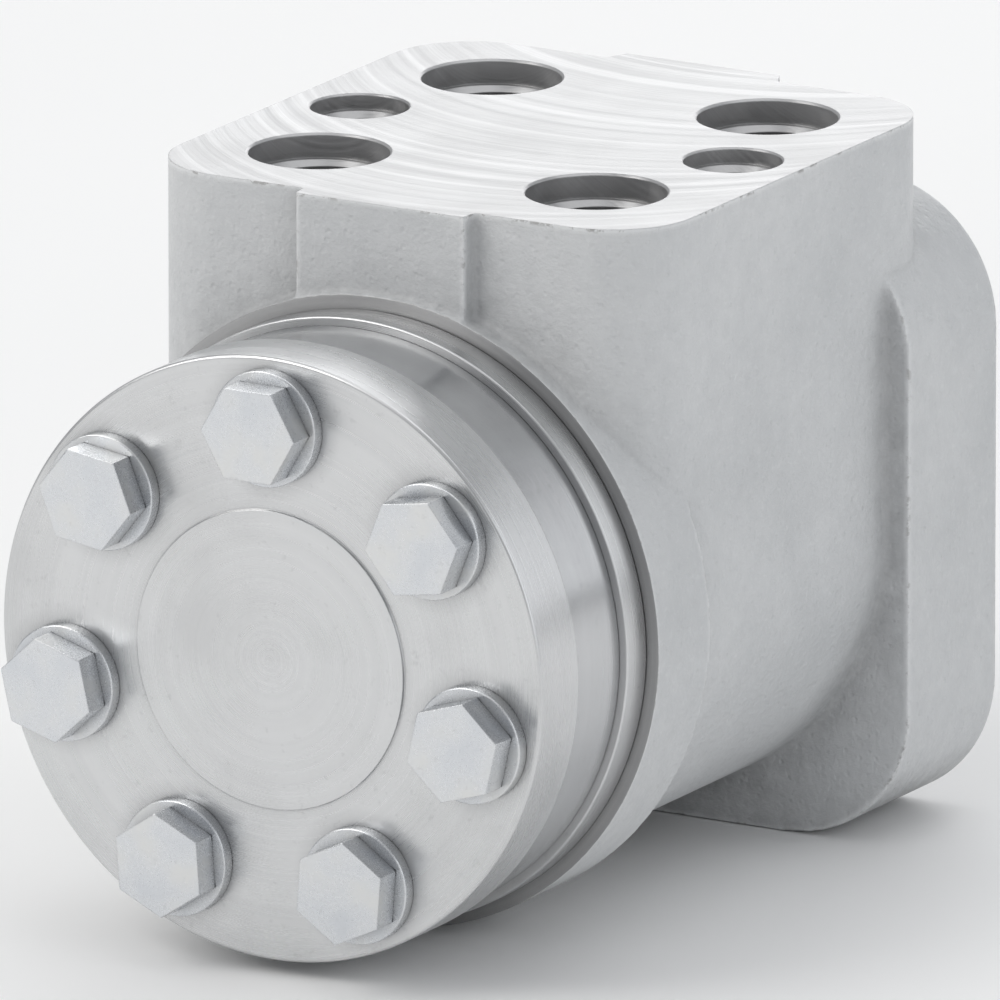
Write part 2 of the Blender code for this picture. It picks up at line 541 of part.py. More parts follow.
# ---------------------------------------------------------- thrust bearing
turned_ring("bearing_inner_race", [(12.9, 98.7), (18.5, 98.7), (18.5, 97.8), (12.9, 97.8)], 28,
            piece_material(HARD, "inner_race_steel"), 0.0, PIN_YF, 0.0, ALONG, METER)
turned_ring("bearing_needle_cage", [
    (13.2, 99.0), (18.3, 99.0), (18.3, 100.9), (13.2, 100.9)], 28,
    piece_material(STEEL, "needle_cage_steel"), 0.0, PIN_YF, 0.0, ALONG, METER)
turned_ring("bearing_outer_race", [(12.9, 102.7), (18.6, 102.7), (18.6, 101.2), (12.9, 101.2)], 28,
            piece_material(HARD, "outer_race_steel"))

# ------------------------------------------------------------------- seals
turned_ring("shaft_seal", [(12.7, 107.5), (13.4, 106.0), (16.7, 106.0), (16.7, 112.0), (14.6, 112.0),
                           (14.6, 109.5), (12.7, 109.0)], 28, piece_material(RUBBER, "shaft_seal_rubber"))
turned_ring("dust_seal", [(12.7, 123.4), (14.0, 121.3), (17.2, 121.3), (17.2, 124.8), (14.2, 124.8), (12.7, 124.2)],
            28, piece_material(RUBBER, "dust_seal_rubber"))

# ------------------------------------------------------------ relief valve
turned_solid("relief_poppet", [(1.2, 82.2), (1.6, 83.1), (4.5, 86.0), (4.5, 91.0), (2.6, 91.0), (2.6, 93.0)], 16,
             piece_material(HARD, "relief_poppet_steel"), 0.0, 88.0, RELIEF_Z)


def coil(name, x, z, y0, y1, radius, wire, turns, mat, parent=None):
    cu = bpy.data.curves.new(name, "CURVE")
    cu.dimensions = "3D"
    cu.bevel_depth = wire * MM
    cu.bevel_resolution = 1
    cu.use_fill_caps = True
    sp = cu.splines.new("POLY")
    per = 8
    total = int(turns * per)
    sp.points.add(total)
    for i, p in enumerate(sp.points):
        a = 2 * math.pi * i / per
        p.co = (radius * math.cos(a) * MM, radius * math.sin(a) * MM, (y1 - y0) * i / total * MM, 1.0)
    ob = bpy.data.objects.new(name, cu)
    finish(ob, mat)
    return put(ob, x, y0, z, ALONG, parent)


coil("relief_spring", 0, RELIEF_Z, 92.0, 106.6, 3.5, 0.6, 4.5, piece_material(SPRING, "relief_spring_steel"))
turned_solid("relief_adjuster", [(4.6, 107.6), (4.6, 113.5)], 16,
             piece_material(STEEL, "adjuster_steel"), 0.0, 110.0, RELIEF_Z)
turned_solid("relief_plug", [(4.7, 117.0), (4.7, 125.0)], 16,
             piece_material(ZINC, "relief_plug_zinc"), 0.0, 120.0, RELIEF_Z)
for side, name in ((1, "right"), (-1, "left")):
    ball = turned_solid("shock_ball_" + name, [
        (3.0 * math.sin(math.radians(q)), 91.0 - 3.0 * math.cos(math.radians(q))) for q in (30, 60, 90, 120, 150)], 12,
        piece_material(HARD, "shock_ball_steel_" + name), side * SHOCK_X, 91.0, RELIEF_Z)
    coil("shock_spring_" + name, side * SHOCK_X, RELIEF_Z, 94.6, 112.6, 2.7, 0.5, 4.5,
         piece_material(SPRING, "shock_spring_steel_" + name))
    turned_solid("shock_plug_" + name, [(3.7, 113.6), (3.7, 125.0)], 16,
                 piece_material(ZINC, "shock_plug_zinc_" + name), side * SHOCK_X, 120.0, RELIEF_Z)

# -------------------------------------------------------------- check ball
cx, cz = bolt_xz[CHECK_BOLT]
turned_solid("check_ball", [
    (3.4 * math.sin(math.radians(q)), 52.6 - 3.4 * math.cos(math.radians(q))) for q in (30, 60, 90, 120, 150)], 12,
    piece_material(HARD, "check_ball_steel"), cx, 52.6, cz)
turned_ring("check_ball_seat", [(2.2, 58.0), (3.95, 58.0), (3.95, 55.6), (2.2, 55.6)], 16,
            piece_material(STEEL, "check_seat_steel"), cx, 0.0, cz)
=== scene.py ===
import math
import bpy
import bmesh
from mathutils import Matrix, Vector

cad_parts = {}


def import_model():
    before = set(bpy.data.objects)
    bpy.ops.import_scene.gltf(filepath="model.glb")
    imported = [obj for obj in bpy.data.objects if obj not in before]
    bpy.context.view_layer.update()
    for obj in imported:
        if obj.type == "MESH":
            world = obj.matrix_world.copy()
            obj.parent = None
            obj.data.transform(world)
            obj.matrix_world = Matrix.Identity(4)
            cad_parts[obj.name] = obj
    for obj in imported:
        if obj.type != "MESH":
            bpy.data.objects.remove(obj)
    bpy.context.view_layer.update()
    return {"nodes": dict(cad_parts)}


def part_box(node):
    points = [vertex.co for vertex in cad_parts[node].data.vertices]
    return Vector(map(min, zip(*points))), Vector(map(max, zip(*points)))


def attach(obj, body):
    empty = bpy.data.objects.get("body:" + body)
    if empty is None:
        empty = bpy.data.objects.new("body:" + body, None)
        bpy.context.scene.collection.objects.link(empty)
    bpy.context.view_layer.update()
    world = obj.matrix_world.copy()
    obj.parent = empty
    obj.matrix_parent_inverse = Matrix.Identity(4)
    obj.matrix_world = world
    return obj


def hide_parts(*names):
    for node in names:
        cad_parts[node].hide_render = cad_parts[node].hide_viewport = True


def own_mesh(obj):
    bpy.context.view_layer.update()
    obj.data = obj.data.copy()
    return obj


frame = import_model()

# ---------------------------------------------------------------- dimensions
# millimetres; "yf" is the distance behind the front face of the end cover
MM = 0.001
lo_h, hi_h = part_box("housing")
AXIS_Z = 45.5
Y_MID = 125.3 - hi_h.y / MM
BOSS_R, COVER_R = 21.5, 43.6
RING_R, PLATE_R, DISC_R, BARREL_R = 42.36, 43.65, 45.5, 41.55
DISC_F, DISC_B = 29.3, 44.3
BLOCK_HALF, BLOCK_CORNER, BLOCK_F, BLOCK_B, BLOCK_TOP = 41.3, 12.45, 32.9, 117.9, 58.75
PAD_HALF, PAD_OUT = 13.65, 2.8
FLANGE_F, FLANGE_B, FLANGE_HALF, FLANGE_CORNER = 100.4, 125.3, 45.5, 20.0
PORT_X, PORT_YF = 22.47, (51.8, 100.15)
SMALL_X, SMALL_YF = 30.35, 76.5
MOUNT = 29.17
BOLT_CIRCLE = 33.7
ECC, LOBE_CENTRE, LOBE_R, ROOT_R = 2.6, 30.5, 7.0, 28.9
RELIEF_Z, SHOCK_X = 33.5, 14.5
PIN_YF = 82.0

bolt_angles = [math.radians(90.0 + 360.0 / 7 * k) for k in range(7)]
bolt_xz = [(BOLT_CIRCLE * math.cos(a), BOLT_CIRCLE * math.sin(a)) for a in bolt_angles]
gap_angles = [a + math.pi / 7 for a in bolt_angles]

SCENE = bpy.context.scene.collection


def world(x, yf, z):
    return Vector((x * MM, (yf - Y_MID) * MM, (z + AXIS_Z) * MM))


# ============================================================ mesh helpers
def keep(ob, mat, body, nodes=(), sharp=30.0):
    """Finish a piece: material, edge shading, its body and the nodes it stands for."""
    tidy(ob)
    me = ob.data
    if mat is not None:
        me.materials.clear()
        for m in (mat if isinstance(mat, (list, tuple)) else [mat]):
            me.materials.append(m)
    for p in me.polygons:
        p.use_smooth = True
    me.set_sharp_from_angle(angle=math.radians(sharp))
    even_normals(ob)
    if nodes:
        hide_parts(*nodes)
    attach(ob, body)
    return ob


def tidy(ob):
    """Weld the slivers that the cuts leave, so that the piece stays closed."""
    bm = bmesh.new()
    bm.from_mesh(ob.data)
    bmesh.ops.remove_doubles(bm, verts=bm.verts, dist=2e-6)
    bmesh.ops.dissolve_degenerate(bm, edges=bm.edges, dist=2e-6)
    bmesh.ops.triangulate(bm, faces=[f for f in bm.faces if len(f.verts) > 4])
    bm.to_mesh(ob.data)
    bm.free()


def even_normals(ob):
    """Large flat faces keep their own normal where small bevels meet them."""
    m = ob.modifiers.new("normals", "WEIGHTED_NORMAL")
    m.mode = "FACE_AREA"
    m.weight = 80
    m.keep_sharp = True
    return ob


def obj_from_bm(name, bm):
    bmesh.ops.recalc_face_normals(bm, faces=bm.faces)
    me = bpy.data.meshes.new(name)
    bm.to_mesh(me)
    bm.free()
    ob = bpy.data.objects.new(name, me)
    SCENE.objects.link(ob)
    return ob


def rounded(pts, closed=True, steps=4):
    """Corner points (a, b[, radius]) to a fine outline with real corner radii."""
    out = []
    n = len(pts)
    for i, p in enumerate(pts):
        r = p[2] if len(p) > 2 else 0.0
        if r <= 0 or (not closed and i in (0, n - 1)):
            out.append((p[0], p[1]))
            continue
        a, b = Vector(pts[i - 1][:2]), Vector(pts[(i + 1) % n][:2])
        c = Vector(p[:2])
        u, v = (a - c).normalized(), (b - c).normalized()
        half = math.acos(max(-1.0, min(1.0, u.dot(v)))) / 2.0
        if half > math.radians(88) or half < 1e-3:
            out.append((p[0], p[1]))
            continue
        t = min(r / math.tan(half), (a - c).length * 0.49, (b - c).length * 0.49)
        rr = t * math.tan(half)
        centre = c + (u + v).normalized() * (rr / math.sin(half))
        s0, s1 = c + u * t - centre, c + v * t - centre
        a0, a1 = math.atan2(s0.y, s0.x), math.atan2(s1.y, s1.x)
        d = (a1 - a0 + math.pi) % (2 * math.pi) - math.pi
        for k in range(steps + 1):
            q = a0 + d * k / steps
            out.append((centre.x + rr * math.cos(q), centre.y + rr * math.sin(q)))
    return out


def lathe_bm(bm, pts, seg, x=0.0, z=0.0, ring=False, axis="Y", yf=0.0):
    """Turned shape about the shaft direction (or about Z on the port face)."""
    rings = []
    for r, h in pts:
        if r < 1e-6:
            rings.append([bm.verts.new(world(x, h, z) if axis == "Y" else world(x, yf, h))])
        else:
            row = []
            for k in range(seg):
                a = 2 * math.pi * k / seg
                if axis == "Y":
                    row.append(bm.verts.new(world(x + r * math.cos(a), h, z + r * math.sin(a))))
                else:
                    row.append(bm.verts.new(world(x + r * math.cos(a), yf + r * math.sin(a), h)))
            rings.append(row)
    pairs = list(zip(rings[:-1], rings[1:]))
    if ring:
        pairs.append((rings[-1], rings[0]))
    for a, b in pairs:
        for k in range(seg):
            k2 = (k + 1) % seg
            if len(a) == 1 and len(b) == 1:
                continue
            if len(a) == 1:
                bm.faces.new((a[0], b[k], b[k2]))
            elif len(b) == 1:
                bm.faces.new((a[k], b[0], a[k2]))
            else:
                bm.faces.new((a[k], b[k], b[k2], a[k2]))


def lathe(name, pts, seg, x=0.0, z=0.0, ring=False, axis="Y", yf=0.0, steps=4):
    """pts: corner points (radius, height[, corner radius])."""
    bm = bmesh.new()
    body = rounded(pts, closed=ring, steps=steps)
    if not ring:
        body = [(0.0, body[0][1])] + body + [(0.0, body[-1][1])]
    lathe_bm(bm, body, seg, x, z, ring, axis, yf)
    return obj_from_bm(name, bm)


def prism(name, outline, h0, h1, plane="XZ"):
    """Outline extruded along the shaft (XZ) or upwards (XY)."""
    bm = bmesh.new()
    if plane == "XZ":
        a = [bm.verts.new(world(x, h0, z)) for x, z in outline]
        b = [bm.verts.new(world(x, h1, z)) for x, z in outline]
    else:
        a = [bm.verts.new(world(x, yf, h0)) for x, yf in outline]
        b = [bm.verts.new(world(x, yf, h1)) for x, yf in outline]
    n = len(a)
    bm.faces.new(a)
    bm.faces.new(list(reversed(b)))
    for k in range(n):
        bm.faces.new((a[k], a[(k + 1) % n], b[(k + 1) % n], b[k]))
    return obj_from_bm(name, bm)


def arc(cx, cy, r, a0, a1, n):
    return [(cx + r * math.cos(math.radians(a0 + (a1 - a0) * i / n)),
             cy + r * math.sin(math.radians(a0 + (a1 - a0) * i / n))) for i in range(n + 1)]


def thread(name, axis, x, y, top, depth, major, minor, pitch, seg=56, hand=1):
    """A threaded plug used to cut an internal thread: radius follows a helix."""
    bm = bmesh.new()
    rows = max(8, int(round(depth / pitch * 6)))
    grid = []
    for i in range(rows + 1):
        h = depth * i / rows
        row = []
        for k in range(seg):
            a = 2 * math.pi * k / seg
            ph = (h / pitch - hand * a / (2 * math.pi)) % 1.0
            tri = 1.0 - abs(2.0 * ph - 1.0)
            w = min(1.0, max(0.0, (tri - 0.12) / 0.70))
            r = minor + (major - minor) * w
            ca, sa = r * math.cos(a), r * math.sin(a)
            if axis == "Z":
                row.append(bm.verts.new(world(x + ca, y + sa, top - h)))
            else:
                row.append(bm.verts.new(world(x + ca, top - h, y + sa)))
        grid.append(row)
    for a, b in zip(grid[:-1], grid[1:]):
        for k in range(seg):
            k2 = (k + 1) % seg
            bm.faces.new((a[k], a[k2], b[k2], b[k]))
    bm.faces.new(list(reversed(grid[0])))
    bm.faces.new(grid[-1])
    return obj_from_bm(name, bm)


def drill(name, a, b, r, seg=32):
    p, q = world(*a), world(*b)
    d = q - p
    bm = bmesh.new()
    bmesh.ops.create_cone(bm, cap_ends=True, segments=seg, radius1=r * MM, radius2=r * MM, depth=d.length,
                          matrix=Matrix.Translation((p + q) / 2) @ d.to_track_quat("Z", "Y").to_matrix().to_4x4())
    return obj_from_bm(name, bm)


def box(name, x0, x1, y0, y1, z0, z1):
    return prism(name, [(x0, z0), (x1, z0), (x1, z1), (x0, z1)], y0, y1)


def cut(ob, *tools, op="DIFFERENCE", solver="MANIFOLD"):
    """Cuts (or joins) the tools into ob, keeps the result and removes the tools."""
    for t in tools:
        m = ob.modifiers.new("cut", "BOOLEAN")
        m.operation = op
        m.solver = solver
        m.object = t
    apply_all(ob)
    for t in tools:
        me = t.data
        bpy.data.objects.remove(t, do_unlink=True)
        bpy.data.meshes.remove(me)
    return ob


def apply_all(ob):
    bpy.context.view_layer.update()
    dg = bpy.context.evaluated_depsgraph_get()
    me = bpy.data.meshes.new_from_object(ob.evaluated_get(dg))
    old = ob.data
    ob.modifiers.clear()
    ob.data = me
    bpy.data.meshes.remove(old)
    return ob


def join(name, *obs):
    bm = bmesh.new()
    for o in obs:
        bm.from_mesh(o.data)
        me = o.data
        bpy.data.objects.remove(o, do_unlink=True)
        bpy.data.meshes.remove(me)
    return obj_from_bm(name, bm)


# ================================================================ materials
class Nodes:
    """Small helper to wire a procedural material."""

    def __init__(self, name, color=(0.8, 0.8, 0.8), rough=0.5, metal=0.0):
        self.mat = bpy.data.materials.new(name)
        self.mat.use_nodes = True
        self.nt = self.mat.node_tree
        self.bsdf = self.nt.nodes["Principled BSDF"]
        self.bsdf.inputs["Base Color"].default_value = (*color, 1.0)
        self.bsdf.inputs["Roughness"].default_value = rough
        self.bsdf.inputs["Metallic"].default_value = metal
        self.mat.diffuse_color = (*color, 1.0)
        self.coord = self.add("ShaderNodeTexCoord").outputs["Object"]

    def add(self, kind, **kw):
        n = self.nt.nodes.new(kind)
        for k, v in kw.items():
            setattr(n, k, v)
        return n

    def link(self, a, b):
        self.nt.links.new(a, b)

    def noise(self, scale, detail=3.0, rough=0.5, vector=None, distortion=0.0):
        n = self.add("ShaderNodeTexNoise")
        n.inputs["Scale"].default_value = scale
        n.inputs["Detail"].default_value = detail
        n.inputs["Roughness"].default_value = rough
        n.inputs["Distortion"].default_value = distortion
        self.link(vector or self.coord, n.inputs["Vector"])
        return n.outputs["Fac"]

    def voronoi(self, scale, feature="F1", vector=None):
        n = self.add("ShaderNodeTexVoronoi", feature=feature)
        n.inputs["Scale"].default_value = scale
        self.link(vector or self.coord, n.inputs["Vector"])
        return n.outputs["Distance"]

    def mapped(self, scale=(1, 1, 1), loc=(0, 0, 0)):
        n = self.add("ShaderNodeMapping")
        n.inputs["Scale"].default_value = scale
        n.inputs["Location"].default_value = loc
        self.link(self.coord, n.inputs["Vector"])
        return n.outputs["Vector"]

    def ramp(self, fac, stops):
        n = self.add("ShaderNodeValToRGB")
        el = n.color_ramp.elements
        while len(el) < len(stops):
            el.new(0.5)
        for e, (p, c) in zip(el, stops):
            e.position = p
            e.color = (*c, 1.0) if len(c) == 3 else c
        self.link(fac, n.inputs["Fac"])
        return n.outputs["Color"]

    def map_range(self, fac, a0, a1, b0, b1):
        n = self.add("ShaderNodeMapRange")
        for s, v in zip(("From Min", "From Max", "To Min", "To Max"), (a0, a1, b0, b1)):
            n.inputs[s].default_value = v
        self.link(fac, n.inputs["Value"])
        return n.outputs["Result"]

    def math(self, op, a, b=0.5, c=None):
        n = self.add("ShaderNodeMath", operation=op)
        for s, v in zip(n.inputs, (a, b, c)):
            if v is None:
                continue
            if isinstance(v, (int, float)):
                s.default_value = v
            else:
                self.link(v, s)
        return n.outputs["Value"]

    def mix(self, fac, a, b, mode="MIX"):
        n = self.add("ShaderNodeMix", data_type="RGBA", blend_type=mode)
        for s, v in ((n.inputs["Factor"], fac), (n.inputs["A"], a), (n.inputs["B"], b)):
            pass
        ins = {i.identifier: i for i in n.inputs}
        for key, v in (("Factor_Float", fac), ("A_Color", a), ("B_Color", b)):
            s = ins[key]
            if isinstance(v, (int, float)):
                s.default_value = v
            elif isinstance(v, tuple):
                s.default_value = (*v, 1.0)
            else:
                self.link(v, s)
        outs = {o.identifier: o for o in n.outputs}
        return outs["Result_Color"]

    def bump(self, height, strength, distance, normal=None):
        n = self.add("ShaderNodeBump")
        n.inputs["Strength"].default_value = strength
        n.inputs["Distance"].default_value = distance
        self.link(height, n.inputs["Height"])
        if normal is not None:
            self.link(normal, n.inputs["Normal"])
        return n.outputs["Normal"]

    def edge_normal(self, radius):
        n = self.add("ShaderNodeBevel", samples=4)
        n.inputs["Radius"].default_value = radius
        return n.outputs["Normal"]

    def edge_mask(self, radius, gain=3.0):
        """White where the surface turns sharply: worn, brighter edges."""
        bev = self.add("ShaderNodeBevel", samples=5)
        bev.inputs["Radius"].default_value = radius
        geo = self.add("ShaderNodeNewGeometry")
        d = self.add("ShaderNodeVectorMath", operation="DOT_PRODUCT")
        self.link(bev.outputs["Normal"], d.inputs[0])
        self.link(geo.outputs["Normal"], d.inputs[1])
        return self.map_range(d.outputs["Value"], 1.0, 1.0 - 0.6 / gain, 0.0, 1.0)

    def radius_from(self, x=0.0, z=AXIS_Z * MM):
        """Distance from the shaft axis, for turning marks."""
        sep = self.add("ShaderNodeSeparateXYZ")
        self.link(self.coord, sep.inputs["Vector"])
        dx = self.math("SUBTRACT", sep.outputs["X"], x)
        dz = self.math("SUBTRACT", sep.outputs["Z"], z)
        return self.math("SQRT", self.math("ADD", self.math("MULTIPLY", dx, dx), self.math("MULTIPLY", dz, dz))), sep

    def line_noise(self, value, scale, detail=4.0):
        """One-dimensional noise along a value: tool lay."""
        n = self.add("ShaderNodeTexNoise", noise_dimensions="1D")
        n.inputs["Scale"].default_value = scale
        n.inputs["Detail"].default_value = detail
        n.inputs["Roughness"].default_value = 0.6
        self.link(value, n.inputs["W"])
        return n.outputs["Fac"]

    def set(self, name, src):
        self.link(src, self.bsdf.inputs[name])


def cast_paint():
    """Pale primer over a sand casting: pimpled skin, soft tone changes, worn edges, painted highlights on convex edges
    and painted shade in recesses and hollows.
    """
    m = Nodes("cast_housing_paint", (0.62, 0.63, 0.636), 0.46, 0.0)
    big = m.noise(26.0, 4.0, 0.6)
    mid = m.noise(300.0, 4.0, 0.62)
    grit = m.noise(1000.0, 4.0, 0.6)
    pits = m.voronoi(620.0)
    col = m.ramp(big, [(0.30, (0.555, 0.566, 0.575)), (0.5, (0.620, 0.629, 0.636)), (0.72, (0.668, 0.675, 0.680))])
    col = m.mix(m.map_range(mid, 0.38, 0.68, 0.0, 0.30), col, (0.53, 0.54, 0.55))
    col = m.mix(m.map_range(grit, 0.56, 0.72, 0.0, 0.30), col, (0.72, 0.725, 0.73))
    # painted shade: ambient occlusion darkens the paint in recesses and corners, patchy in strength
    ao = m.add("ShaderNodeAmbientOcclusion", samples=4)
    ao.inputs["Distance"].default_value = 0.011
    painted_recess_shade = m.math("MULTIPLY", m.map_range(ao.outputs["AO"], 0.42, 0.96, 1.0, 0.0), m.map_range(mid, 0.3, 0.7, 0.40, 0.80))
    col = m.mix(painted_recess_shade, col, (0.27, 0.272, 0.275))
    # painted highlight on convex edges and painted shade in concave hollows, both driven by pointiness
    point = m.add("ShaderNodeNewGeometry").outputs["Pointiness"]
    edge = m.map_range(point, 0.505, 0.545, 0.0, 1.0)
    painted_hollow_shade = m.map_range(point, 0.495, 0.462, 0.0, 1.0)
    col = m.mix(m.math("MULTIPLY", edge, 0.55), col, (0.84, 0.845, 0.85))
    col = m.mix(m.math("MULTIPLY", painted_hollow_shade, 0.45), col, (0.30, 0.302, 0.305))
    chips = m.map_range(m.noise(420.0, 5.0, 0.7), 0.53, 0.60, 0.0, 1.0)
    worn = m.math("MULTIPLY", m.math("MULTIPLY", m.map_range(point, 0.515, 0.555, 0.0, 1.0), chips), 0.85)
    col = m.mix(worn, col, (0.40, 0.395, 0.39))
    m.set("Base Color", col)
    m.set("Roughness", m.map_range(m.math("ADD", big, mid), 0.7, 1.3, 0.38, 0.58))
    m.set("Metallic", m.math("MULTIPLY", worn, 0.8))
    h = m.math("ADD", m.math("MULTIPLY", mid, 0.50), m.math("MULTIPLY", grit, 0.42))
    h = m.math("ADD", h, m.math("MULTIPLY", m.map_range(pits, 0.0, 0.30, 0.0, 1.0), 0.20))
    m.set("Normal", m.bump(h, 1.0, 0.00050, m.edge_normal(0.0004)))
    m.bsdf.inputs["Coat Weight"].default_value = 0.12
    m.bsdf.inputs["Coat Roughness"].default_value = 0.25
    return m.mat


def milled_iron():
    """The port face: bare iron with the crossing arcs a face mill leaves."""
    m = Nodes("milled_port_face", (0.56, 0.56, 0.56), 0.44, 0.8)
    sep = m.add("ShaderNodeSeparateXYZ")
    m.link(m.coord, sep.inputs["Vector"])
    x2 = m.math("MULTIPLY", sep.outputs["X"], sep.outputs["X"])
    sag = m.math("SQRT", m.math("SUBTRACT", 0.052 ** 2, x2))
    ahead = m.math("ADD", sep.outputs["Y"], sag)
    behind = m.math("SUBTRACT", sep.outputs["Y"], sag)
    arcs = m.line_noise(ahead, 1500.0, 3.0)
    broad = m.line_noise(ahead, 330.0, 2.0)
    trail = m.line_noise(behind, 1400.0, 2.0)
    blotch = m.noise(55.0, 4.0, 0.6)
    grain = m.noise(3200.0, 2.0, 0.5)
    col = m.ramp(blotch, [(0.30, (0.490, 0.493, 0.497)), (0.52, (0.560, 0.562, 0.565)), (0.75, (0.610, 0.611, 0.613))])
    col = m.mix(m.map_range(arcs, 0.38, 0.66, 0.30, 0.0), col, (0.42, 0.42, 0.425))
    col = m.mix(m.map_range(broad, 0.42, 0.62, 0.0, 0.18), col, (0.74, 0.74, 0.74))
    m.set("Base Color", col)
    m.set("Roughness", m.map_range(m.math("ADD", broad, blotch), 0.75, 1.25, 0.38, 0.54))
    h = m.math("ADD", m.math("MULTIPLY", arcs, 0.55), m.math("MULTIPLY", trail, 0.25))
    h = m.math("ADD", h, m.math("MULTIPLY", grain, 0.2))
    m.set("Normal", m.bump(h, 0.55, 0.00008, m.edge_normal(0.00025)))
    return m.mat


def bored_iron():
    """Drilled, tapped and turned iron: lay round the shaft axis, painted shade darkening the bores."""
    m = Nodes("bored_iron", (0.56, 0.56, 0.565), 0.36, 0.85)
    rad, sep = m.radius_from()
    lay = m.line_noise(m.math("ADD", rad, sep.outputs["Y"]), 1900.0, 4.0)
    blotch = m.noise(70.0, 4.0, 0.6)
    grain = m.noise(2600.0, 2.0, 0.5)
    col = m.ramp(blotch, [(0.30, (0.50, 0.50, 0.505)), (0.55, (0.57, 0.57, 0.575)), (0.75, (0.61, 0.61, 0.61))])
    col = m.mix(m.map_range(lay, 0.36, 0.68, 0.28, 0.0), col, (0.38, 0.38, 0.385))
    # painted shade: ambient occlusion darkens the iron deep in the bores
    ao = m.add("ShaderNodeAmbientOcclusion", samples=4)
    ao.inputs["Distance"].default_value = 0.008
    col = m.mix(m.map_range(ao.outputs["AO"], 0.25, 0.9, 0.65, 0.0), col, (0.10, 0.098, 0.095))
    m.set("Base Color", col)
    m.set("Roughness", m.map_range(m.math("ADD", lay, blotch), 0.75, 1.25, 0.28, 0.44))
    h = m.math("ADD", m.math("MULTIPLY", lay, 0.7), m.math("MULTIPLY", grain, 0.3))
    m.set("Normal", m.bump(h, 0.35, 0.00005, m.edge_normal(0.0002)))
    return m.mat


def turned_steel(name, base=(0.76, 0.765, 0.77), rough=0.27, fine=2200.0, depth=0.00003):
    """Steel turned on a lathe: fine rings round the shaft, light stains, painted shade in the corners."""
    m = Nodes(name, base, rough, 1.0)
    rad, sep = m.radius_from()
    along = sep.outputs["Y"]
    rings = m.line_noise(m.math("ADD", rad, along), fine, 5.0)
    bands = m.line_noise(m.math("ADD", rad, m.math("MULTIPLY", along, 0.6)), 260.0, 3.0)
    stain = m.noise(45.0, 4.0, 0.6)
    spots = m.noise(700.0, 3.0, 0.6)
    b = base
    col = m.ramp(stain, [(0.3, tuple(v * 0.90 for v in b)), (0.5, b), (0.72, tuple(min(1.0, v * 1.05) for v in b))])
    col = m.mix(m.map_range(bands, 0.35, 0.65, 0.0, 0.20), col, tuple(v * 0.78 for v in b))
    col = m.mix(m.map_range(spots, 0.62, 0.74, 0.0, 0.25), col, tuple(v * 0.6 for v in b))
    # painted shade: ambient occlusion darkens the steel in corners and gaps between parts
    ao = m.add("ShaderNodeAmbientOcclusion", samples=3)
    ao.inputs["Distance"].default_value = 0.003
    col = m.mix(m.map_range(ao.outputs["AO"], 0.3, 0.9, 0.5, 0.0), col, (0.12, 0.12, 0.125))
    m.set("Base Color", col)
    m.set("Roughness", m.map_range(m.math("ADD", rings, stain), 0.7, 1.3, rough * 0.85, rough * 1.25))
    m.set("Normal", m.bump(rings, 0.35, depth, m.edge_normal(0.0002)))
    m.bsdf.inputs["Anisotropic"].default_value = 0.35
    return m.mat


def zinc(name, seed):
    """Bright zinc plate: faint clouding, a fine satin skin, rubbed edges and painted shade in the corners."""
    m = Nodes(name, (0.72, 0.735, 0.755), 0.27, 1.0)
    v = m.mapped((1, 1, 1), (seed * 0.37, seed * 0.11, seed * 0.23))
    cloud = m.noise(150.0, 3.0, 0.55, v)
    micro = m.noise(2600.0, 3.0, 0.55, v)
    specks = m.noise(900.0, 3.0, 0.6, v)
    col = m.ramp(cloud, [(0.3, (0.665, 0.685, 0.715)), (0.5, (0.72, 0.735, 0.755)), (0.7, (0.76, 0.765, 0.76))])
    col = m.mix(m.map_range(specks, 0.62, 0.72, 0.0, 0.22), col, (0.50, 0.50, 0.50))
    wear = m.edge_mask(0.0004, 2.0)
    col = m.mix(m.math("MULTIPLY", wear, 0.35), col, (0.58, 0.58, 0.58))
    # painted shade: ambient occlusion darkens the zinc in corners and where parts meet
    ao = m.add("ShaderNodeAmbientOcclusion", samples=3)
    ao.inputs["Distance"].default_value = 0.0025
    col = m.mix(m.map_range(ao.outputs["AO"], 0.3, 0.9, 0.55, 0.0), col, (0.10, 0.10, 0.105))
    m.set("Base Color", col)
    m.set("Roughness", m.map_range(m.math("ADD", micro, cloud), 0.75, 1.25, 0.22, 0.35))
    m.set("Normal", m.bump(micro, 0.14, 0.00002, m.edge_normal(0.00018)))
    return m.mat


def ground_steel(name, base=(0.58, 0.59, 0.61), rough=0.2):
    m = Nodes(name, base, rough, 1.0)
    fine = m.noise(900.0, 4.0, 0.6, m.mapped((1.0, 8.0, 1.0)))
    cloud = m.noise(80.0, 3.0, 0.5)
    col = m.ramp(cloud, [(0.3, tuple(v * 0.86 for v in base)), (0.6, base), (0.8, tuple(min(1, v * 1.08) for v in base))])
    m.set("Base Color", col)
    m.set("Roughness", m.map_range(fine, 0.3, 0.7, rough * 0.8, rough * 1.4))
    m.set("Normal", m.bump(fine, 0.25, 0.00003, m.edge_normal(0.00015)))
    return m.mat


def spring_metal():
    m = Nodes("spring_wire_steel", (0.34, 0.345, 0.36), 0.3, 1.0)
    cloud = m.noise(300.0, 3.0, 0.6)
    m.set("Base Color", m.ramp(cloud, [(0.3, (0.25, 0.255, 0.27)), (0.7, (0.40, 0.405, 0.42))]))
    m.set("Roughness", m.map_range(cloud, 0.3, 0.7, 0.24, 0.4))
    m.set("Normal", m.bump(m.noise(1500.0, 2.0), 0.2, 0.00003))
    return m.mat


